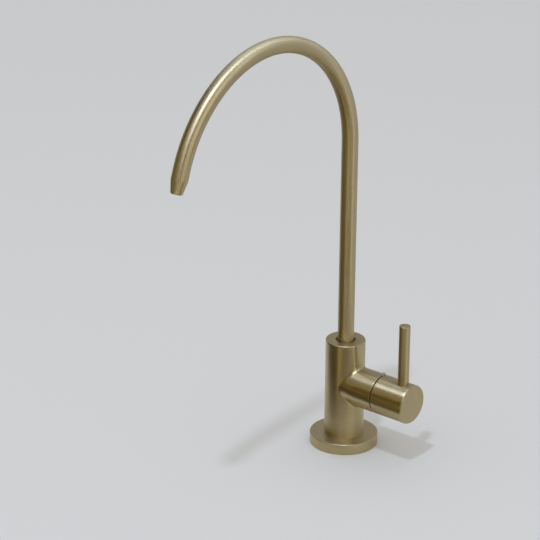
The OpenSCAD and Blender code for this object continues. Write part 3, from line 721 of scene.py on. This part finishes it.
# Barrel of the handle. Its side is a plain cylinder with the lever's hole punched on top and the screw's
# below, and its ends are turned outlines
def handleBarrel():
    radius = halfOf["handle_barrel"][2]
    inner, outer = low["handle_barrel"][0], high["handle_barrel"][0]
    leverRadius, screwRadius = halfOf["lever_pin"][0], high["handle_grub_screw"][1]
    seat = roundHole(midOf["lever_pin"][0], np.pi / 2, leverRadius + handle["seatRim"], radius,
                     handle["seatCells"], handle["seatBlock"])
    screw = roundHole(midOf["handle_grub_screw"][0], 1.5 * np.pi, screwRadius, radius,
                      handle["screwCells"], handle["screwBlock"])
    screwRows = blockRows(screw)
    rows = np.concatenate([
        np.linspace(inner + handle["innerRound"], screwRows[0], handle["sideRows"])[:-1],
        screwRows,
        blockRows(seat),
        [outer - handle["rimRound"]],
    ])
    columns = np.linspace(0, radius * fullTurn, meshing["turnSteps"] + 1)
    across, around, keep = punchedGrid(rows, columns, [screw, seat])
    turn = around / radius
    side = patch(roundAxis(across, radius, turn, valveAxis, valveCentre), across, turn, keep)
    fit, rootFit = leverRadius + handle["seatFit"], handle["leverRoot"] + handle["seatFit"]
    seatFloor, rootFloor = radius - handle["leverSeat"], low["lever_pin"][2] - valveHeight
    seatWall = holeWall(seat, [
        (seat["radius"], 0, None), (fit, handle["seatRim"], None), (fit, 0, seatFloor),
        (rootFit, 0, seatFloor), (rootFit, 0, rootFloor), (0, 0, rootFloor),
    ], valveAxis, valveCentre)
    screwFloor = radius - handle["screwDepth"]
    screwWall = holeWall(screw, [
        (screwRadius, 0, None), (screwRadius, 0, screwFloor), (0, 0, screwFloor),
    ], valveAxis, valveCentre)
    rim = roundedOutline([(inner, radius, 0), (outer, radius, handle["rimRound"]), (outer, 0, 0)])[1:-1]
    faceRing = np.linspace(rim[-1, 1], 0, handle["faceRings"])
    face = turned(np.stack([0 * faceRing + outer, faceRing], -1), valveAxis, valveCentre)
    stemEnd = high["valve_spindle"][0]
    recess = inner + handle["recessDepth"]
    socket = roundedOutline([
        (outer, radius, 0), (inner, radius, handle["innerRound"]), (inner, handle["recessRadius"], 0),
        (recess, handle["recessRadius"], 0), (recess, handle["stemRadius"], 0),
        (stemEnd, handle["stemRadius"], 0), (stemEnd, 0, 0),
    ])[1:]
    return [
        side, seatWall, screwWall,
        turned(rim, valveAxis, valveCentre, seed=outer),
        brushedStraight(face, 2, 1),
        turned(socket, valveAxis, valveCentre, seed=inner),
    ]


# Lever: a plain turned pin with a softened edge, a straight-brushed top and a thinner root
def leverPin():
    radius = halfOf["lever_pin"][0]
    foot, top = low["lever_pin"][2], high["lever_pin"][2]
    seatZ = high["handle_barrel"][2] - handle["leverSeat"]
    outline = roundedOutline([
        (foot, 0, 0), (foot, handle["leverRoot"], 0), (seatZ, handle["leverRoot"], 0), (seatZ, radius, 0),
        (top, radius, handle["leverRound"]), (top, 0, 0),
    ])
    middle = np.array([midOf["lever_pin"][0], 0, 0])
    side = turned(outline[:-1], origin=middle, steps=handle["leverSteps"], seed=handle["leverGrain"])
    end = turned(outline[-2:], origin=middle, steps=handle["leverSteps"])
    return [side, brushedStraight(end, 1, 0)]


makePiece("handleBarrel", handleBarrel(), brass, "handle", ["handle_barrel"])
makePiece("leverPin", leverPin(), brass, "handle", ["lever_pin"])


# Small rings at the moving joints

rings = {
    "glideInner": 8.65 * mm,
    "glideDepth": 0.8 * mm,  # below the branch's surface
    "glideRound": 0.12 * mm,
    "glideGap": 0.03 * mm,   # to the handle, which turns past it
    "tabWidth": 2.4 * mm,
    "tabRound": 0.35,        # share of the tab's width that its sides fall away over
    "tabAngle": 82,          # degrees from +Y towards +Z
    "tabRoot": 0.4 * mm,     # how far the tab goes into the ring
    "tabRows": 25,
    "tabColumns": 49,
    "guideRound": 0.3 * mm,
    "guideInner": 5.05 * mm,
}


# Glide ring between body and handle
def glideRing():
    start, end = high["tap_body"][0], high["glide_ring"][0] - rings["glideGap"]
    outer = high["handle_barrel"][1] - rings["glideDepth"]
    rounds = (0, rings["glideRound"], rings["glideRound"], 0)
    return flatRing(start, end, rings["glideInner"], outer, rounds, axes=valveAxis, origin=valveCentre)


# Locating tab of the glide ring: a rounded block, centre + half size * sign(c) * |c|^power of a ball's point
def glideTab():
    rise = np.linspace(-np.pi / 2, np.pi / 2, rings["tabRows"])
    lat, lon = np.meshgrid(rise, np.linspace(0, fullTurn, rings["tabColumns"]), indexing="ij")
    ball = np.stack([np.sin(lat), np.cos(lat) * np.cos(lon), np.cos(lat) * np.sin(lon)], -1)
    block = np.sign(ball) * np.abs(ball) ** rings["tabRound"]
    angle = np.radians(rings["tabAngle"])
    outward = np.array([0, np.cos(angle), np.sin(angle)])
    sideways = np.array([0, -np.sin(angle), np.cos(angle)])
    tip = (high["glide_ring"][2] - valveHeight - rings["tabWidth"] / 2 * np.cos(angle)) / np.sin(angle)
    root = high["handle_barrel"][1] - rings["glideDepth"] - rings["tabRoot"]
    centre = valveCentre + midOf["glide_ring"][0] * valveAxis[0] + (tip + root) / 2 * outward
    halfSize = np.array([halfOf["glide_ring"][0], rings["tabWidth"] / 2, (tip - root) / 2])
    points = centre + (halfSize * block) @ np.stack([valveAxis[0], sideways, outward])
    return [patch(points, lat * rings["tabWidth"], lon)]


# Guide ring of the spout
def guideRing():
    foot, top = low["spout_guide_ring"][2], high["spout_guide_ring"][2]
    rounds = (0, 0, rings["guideRound"], rings["guideRound"])
    return flatRing(foot, top, rings["guideInner"], high["spout_guide_ring"][0], rounds)


# The glide ring is the same grey plastic as its tab, but it takes the dark plastic so the seam between body and
# handle shows dark: painted shade
makePiece("glideRing", glideRing(), moulded["black_plastic"], "tap", ["glide_ring"])
makePiece("glideTab", glideTab(), moulded["grey_plastic"], "tap", [])
# The guide ring's dark brown also paints the shade in the socket round the spout: partly the plastic's colour,
# partly painted shade
makePiece("guideRing", guideRing(), moulded["black_plastic"], "tap", ["spout_guide_ring"])


# Shank and deck clamp

thread = {
    "pitch": 1.5 * mm,
    "depth": 0.8 * mm,
    "stepsPerPitch": 12,
    "steps": 96,             # round the thread, the shank and the nut
    "runOut": 2.2 * mm,      # over which the thread fades at its ends
    "crest": 0.22,           # shares of half a pitch that are flat
    "root": 0.18,
}
shank = {
    "radius": 7 * mm,
    "collarTop": 2 * mm,
    "spigotRadius": 6 * mm,
    "spigotRound": 0.4 * mm,
    "boreRadius": 3.2 * mm,
    "socketRadius": 5.3 * mm,
    "socketTop": -44 * mm,
    "reliefTop": -16 * mm,
    "reliefFoot": -18 * mm,
    "reliefDepth": 0.6 * mm,
    "reliefRound": 0.2 * mm,
    "footChamfer": 0.4 * mm,
    "lowerGrain": 0.1,       # where the brush lines of its lower end start
}
clamp = {
    "rubberRound": 0.7 * mm,
    "steelRound": 0.3 * mm,
    "washerHole": 7.3 * mm,
    "washerSteps": 128,
    "nutBore": 7.05 * mm,
    "nutFlats": 19 * mm,
    "nutFace": 9.25 * mm,
    "nutSlope": 1.732,       # of the cones that cut its corners
    "nutGrainStep": 2 * mm,  # of the brushing from row to row
}


# Helical thread: rows run along the helix, z = start + pitch * (row / steps + turn / full turn), held between
# the ends. The radius falls from the crest by depth * a flat-sided wave of the row, which fades at both ends
def helix(start, end, radius, depth):
    perPitch = thread["stepsPerPitch"]
    rowCount = int(np.ceil((end - start) / thread["pitch"] + 1)) * perPitch
    row = np.arange(-perPitch, rowCount + 1)
    turn = np.linspace(0, fullTurn, thread["steps"] + 1)
    z = np.clip(start + thread["pitch"] * (row[:, None] / perPitch + turn / fullTurn), start, end)
    share = np.abs((row % perPitch) / perPitch - 0.5) * 2
    wave = np.clip((share - thread["crest"]) / (1 - thread["crest"] - thread["root"]), 0, 1)
    fade = np.clip(np.minimum(z - start, end - z) / thread["runOut"], 0, 1)
    reach = radius - depth * wave[:, None] * fade
    return patch(roundAxis(z, reach, turn), z, turn)


# Threaded shank: turned ends above and below, with the thread between them
def threadedShank():
    radius, foot, top = shank["radius"], low["threaded_shank"][2], high["threaded_shank"][2]
    collar, collarTop = high["threaded_shank"][0], shank["collarTop"]
    spigot, bore, socket = shank["spigotRadius"], shank["boreRadius"], shank["socketRadius"]
    reliefTop, reliefFoot, socketTop = shank["reliefTop"], shank["reliefFoot"], shank["socketTop"]
    reliefRadius, reliefRound = radius - shank["reliefDepth"], shank["reliefRound"]
    threadFoot = foot + shank["footChamfer"]
    upper = roundedOutline([
        (socketTop, bore, 0), (top, bore, 0), (top, spigot, shank["spigotRound"]), (collarTop, spigot, 0),
        (collarTop, collar, 0), (0, collar, 0), (0, radius, 0), (reliefTop, radius, 0),
        (reliefTop, reliefRadius, reliefRound), (reliefFoot, reliefRadius, reliefRound),
        (reliefFoot, radius, 0),
    ])
    lower = roundedOutline([
        (threadFoot, radius, 0), (foot, radius - shank["footChamfer"], 0), (foot, socket, 0),
        (socketTop, socket, 0), (socketTop, bore, 0),
    ])
    return [
        turned(upper, steps=thread["steps"]),
        turned(lower, steps=thread["steps"], seed=shank["lowerGrain"]),
        helix(threadFoot, reliefFoot, radius, thread["depth"]),
    ]


# Lock nut: six flats, radius = half the flats / cos(turn from a flat's middle), and cones that cut corners
def lockNut():
    foot, top = low["lock_nut"][2], high["lock_nut"][2]
    turn = np.linspace(0, fullTurn, thread["steps"] + 1)
    flat = clamp["nutFlats"] / 2 / np.cos(np.mod(turn, np.pi / 3) - np.pi / 6)
    cutDown = np.maximum(flat - clamp["nutFace"], 0) / clamp["nutSlope"]
    level = 0 * turn
    bore, face = level + clamp["nutBore"], level + clamp["nutFace"]
    radii = np.stack([bore, face, flat, flat, face, bore])
    z = np.stack([level + foot, level + foot, foot + cutDown, top - cutDown, level + top, level + top])
    along = np.arange(len(z))[:, None] * clamp["nutGrainStep"]
    outside = patch(roundAxis(z, radii, turn), along, turn)
    return [outside, helix(foot, top, clamp["nutBore"], -thread["depth"])]


# A flat washer, the edges of its hole half as round as the outer ones
def washer(node, edgeRound):
    rounds = (edgeRound / 2, edgeRound, edgeRound, edgeRound / 2)
    foot, top, outer = low[node][2], high[node][2], high[node][0]
    return flatRing(foot, top, clamp["washerHole"], outer, rounds, steps=clamp["washerSteps"])


makePiece("threadedShank", threadedShank(), plainBrass, "tap", ["threaded_shank"])
makePiece("lockNut", lockNut(), plainBrass, "clamp", ["lock_nut"])
rubberWasher = washer("rubber_washer", clamp["rubberRound"])
steelWasher = washer("steel_washer", clamp["steelRound"])
makePiece("rubberWasher", rubberWasher, moulded["rubber"], "clamp", ["rubber_washer"])
makePiece("steelWasher", steelWasher, steel, "clamp", ["steel_washer"])


# Stage

stage = {
    "floorColour": (0.80, 0.80, 0.79),
    "floorRoughness": 0.75,
    "floorSize": 6.0,
    "worldLow": (0.50, 0.50, 0.49),
    "worldHigh": (0.68, 0.68, 0.68),
    "worldRise": (0.0, 0.75),       # a direction's heights where the low colour ends and the high one starts
    "keyDirection": (0.145, -0.43, 1.0),
    "keyDistance": 2.2,
    "keySize": 0.12,
    "keyPower": 9.0,
    "keyColour": (0.86, 0.96, 1.16),
    "windowSize": (2.2, 1.4),       # what reflections show in place of the key
    "windowShift": (0.09, 0.05),
    "windowGlow": 12.0,
    "windowColour": (0.88, 1.03, 1.52),
}
# Corner, two sides and colour of each card that the tap mirrors
cards = {
    "nearLeft": ((-0.9, -0.35, 0.0004), (0.945, 0, 0), (0, 0.3, 0), (0.02, 0.004, 0.0)),
    "nearMiddle": ((-0.015, -0.35, 0.0008), (0.06, 0, 0), (0, 0.25, 0), (0.62, 0.46, 0.12)),
    "nearRight": ((0.045, -0.3, 0.0004), (1.155, 0, 0), (0, 0.25, 0), (0.10, 0.07, 0.0)),
    "farLeft": ((-0.9, -0.9, 0.0004), (1.0, 0, 0), (0, 0.55, 0), (0.50, 0.41, 0.14)),
    "farRight": ((0.1, -0.9, 0.0004), (1.1, 0, 0), (0, 0.6, 0), (0.93, 0.93, 0.68)),
    "frontLow": ((-0.9, -0.9, 0), (2.1, 0, 0), (0, 0, 0.4), (0.10, 0.05, 0.01)),
    "frontMiddle": ((-0.9, -0.9, 0.4), (1.05, 0, 0), (0, 0, 0.4), (0.44, 0.39, 0.19)),
    "frontHigh": ((-0.9, -0.9, 0.8), (1.05, 0, 0), (0, 0, 0.6), (0.60, 0.56, 0.40)),
    "frontRight": ((0.15, -0.9, 0.4), (1.05, 0, 0), (0, 0, 1.0), (0.20, 0.09, 0.0)),
    "leftLow": ((-0.9, -0.9, 0), (0, 1.025, 0), (0, 0, 0.4), (0.34, 0.34, 0.18)),
    "leftHigh": ((-0.9, -0.9, 0.4), (0, 1.025, 0), (0, 0, 1.0), (0.05, 0.03, 0.05)),
    "backLeft": ((-0.9, 0.125, 0.0005), (0.9, 0, 0), (0, 0, 0.45), (0.38, 0.38, 0.40)),
    "backRight": ((0, 0.125, 0.0005), (1.2, 0, 0), (0, 0, 0.45), (0.57, 0.58, 0.66)),
    "backHigh": ((-0.9, 0.125, 0.45), (2.1, 0, 0), (0, 0, 0.95), (1.25, 1.45, 1.9)),
    "rightFront": ((1.2, -0.9, 0), (0, 0.6, 0), (0, 0, 0.4), (0.44, 0.37, 0.08)),
    "rightBack": ((1.2, -0.3, 0), (0, 0.425, 0), (0, 0, 0.4), (1.08, 1.12, 1.25)),
    "rightHigh": ((1.2, -0.9, 0.4), (0, 1.025, 0), (0, 0, 1.0), (1.12, 1.1, 1.0)),
}
camera = {
    "place": (1.05704, -1.35121, 0.83727),
    "heading": 39.6,         # degrees, like pitch and roll
    "pitch": 22.864,
    "roll": 0.6553,
    "lens": 204.55,          # mm, like the sensor's width
    "sensor": 36,
    "clip": (0.05, 50),
}


# A flat rectangle on the stage, from its corner and two sides
def stagePlane(name, corner, sideA, sideB, material):
    uv = np.array([(0, 0), (1, 0), (1, 1), (0, 1)], np.float32)
    points = np.array(corner) + uv @ np.array([sideA, sideB], float)
    mesh = bpy.data.meshes.new(name)
    mesh.from_pydata(points.tolist(), [], [(0, 1, 2, 3)])
    mesh.uv_layers.new(name="card").uv.foreach_set("vector", uv.ravel())
    mesh.materials.append(material)
    plane = addObject(name, mesh)
    return plane


# A glowing material for the stage
def stageGlow(name, colour):
    material, tree, glow = newMaterial(name, "ShaderNodeEmission")
    feed(tree, glow, {"Color": (*colour, 1)})
    return material, tree, glow


# A glow that is strongest in the middle of its card: strength * (1 - r), r from 0 there to 1 at the sides
def softGlow(name, colour, strength):
    material, tree, glow = stageGlow(name, colour)
    place = addNode(tree, "ShaderNodeTexCoord").outputs["UV"]
    inputs = {"Vector": place, "Location": (-1, -1, 0), "Scale": (2, 2, 1)}
    centred = addNode(tree, "ShaderNodeMapping", inputs)
    fall = addNode(tree, "ShaderNodeTexGradient", {"Vector": centred.outputs[0]}, gradient_type="SPHERICAL")
    feed(tree, glow, {"Strength": times(tree, fall.outputs["Fac"], strength)})
    return material


# A flat card that shows in reflections and nowhere else
def reflectionCard(name, corner, sideA, sideB, material):
    card = stagePlane(name, corner, sideA, sideB, material)
    for way in ("camera", "diffuse", "transmission", "shadow"):
        setattr(card, "visible_" + way, False)


# Matrix of something that looks along forward from a place, its right side level before the roll
def lookMatrix(place, forward, roll=0.0):
    forward = np.array(forward) / np.linalg.norm(forward)
    right = np.cross(forward, (0, 0, 1))
    right /= np.linalg.norm(right)
    up = np.cross(right, forward)
    columns = (right * np.cos(roll) + up * np.sin(roll), up * np.cos(roll) - right * np.sin(roll), -forward)
    matrix = np.eye(4)
    matrix[:3, :3] = np.array(columns).T
    matrix[:3, 3] = place
    return Matrix(matrix.tolist())


floorMaterial, floorTree, floorShader = newMaterial("stageFloor")
feed(floorTree, floorShader, {
    "Base Color": (*stage["floorColour"], 1),
    "Roughness": stage["floorRoughness"],
    "Specular IOR Level": 0.0,
})
half = stage["floorSize"] / 2
stagePlane("stageFloor", (-half, -half, 0), (2 * half, 0, 0), (0, 2 * half, 0), floorMaterial)
for name, (corner, sideA, sideB, colour) in cards.items():
    cardName = name + "Card"
    reflectionCard(cardName, corner, sideA, sideB, stageGlow(cardName, colour)[0])

world = bpy.data.worlds.new("studio")
bpy.context.scene.world = world
world.use_nodes = True
sky = world.node_tree
sky.nodes.clear()
skyPlace = addNode(sky, "ShaderNodeTexCoord").outputs["Generated"]
skyHeight = addNode(sky, "ShaderNodeSeparateXYZ", {0: skyPlace}).outputs["Z"]
skyStart, skyEnd = stage["worldRise"]
skyInputs = {"Value": skyHeight, "From Min": skyStart, "From Max": skyEnd}
skyRise = addNode(sky, "ShaderNodeMapRange", skyInputs, interpolation_type="SMOOTHSTEP").outputs["Result"]
skyColour = mixed(sky, skyRise, stage["worldLow"], stage["worldHigh"])
skyGlow = addNode(sky, "ShaderNodeBackground", {"Color": skyColour})
addNode(sky, "ShaderNodeOutputWorld", {"Surface": skyGlow.outputs[0]})

keyLight = bpy.data.lights.new("keyLight", "AREA")
keyLight.shape = "DISK"
keyLight.size = stage["keySize"]
keyLight.energy = stage["keyPower"]
keyLight.color = stage["keyColour"]
keyObject = addObject("keyLight", keyLight)
toKey = np.array(stage["keyDirection"]) / np.linalg.norm(stage["keyDirection"])
keyPlace = (np.array(cadLow) + np.array(cadHigh)) / 2 + stage["keyDistance"] * toKey
keyObject.matrix_world = lookMatrix(keyPlace, -toKey)
keyObject.visible_glossy = False
windowAxes = np.array(keyObject.matrix_world)[:3, :2]
windowSides = windowAxes * stage["windowSize"]
windowCorner = keyPlace + windowAxes @ stage["windowShift"] - windowSides.sum(1) / 2
windowGlow = softGlow("windowCard", stage["windowColour"], stage["windowGlow"])
reflectionCard("windowCard", windowCorner, windowSides[:, 0], windowSides[:, 1], windowGlow)

heading, pitch, roll = (np.radians(camera[name]) for name in ("heading", "pitch", "roll"))
forward = -np.array([np.sin(heading) * np.cos(pitch), -np.cos(heading) * np.cos(pitch), np.sin(pitch)])
lens = bpy.data.cameras.new("photoCamera")
lens.lens = camera["lens"]
lens.sensor_width = camera["sensor"]
lens.clip_start, lens.clip_end = camera["clip"]
cameraObject = addObject("photoCamera", lens)
cameraObject.matrix_world = lookMatrix(camera["place"], forward, roll)
bpy.context.scene.camera = cameraObject
bpy.context.scene.view_settings.view_transform = "Standard"
print("stage: floor, cards, light and camera")
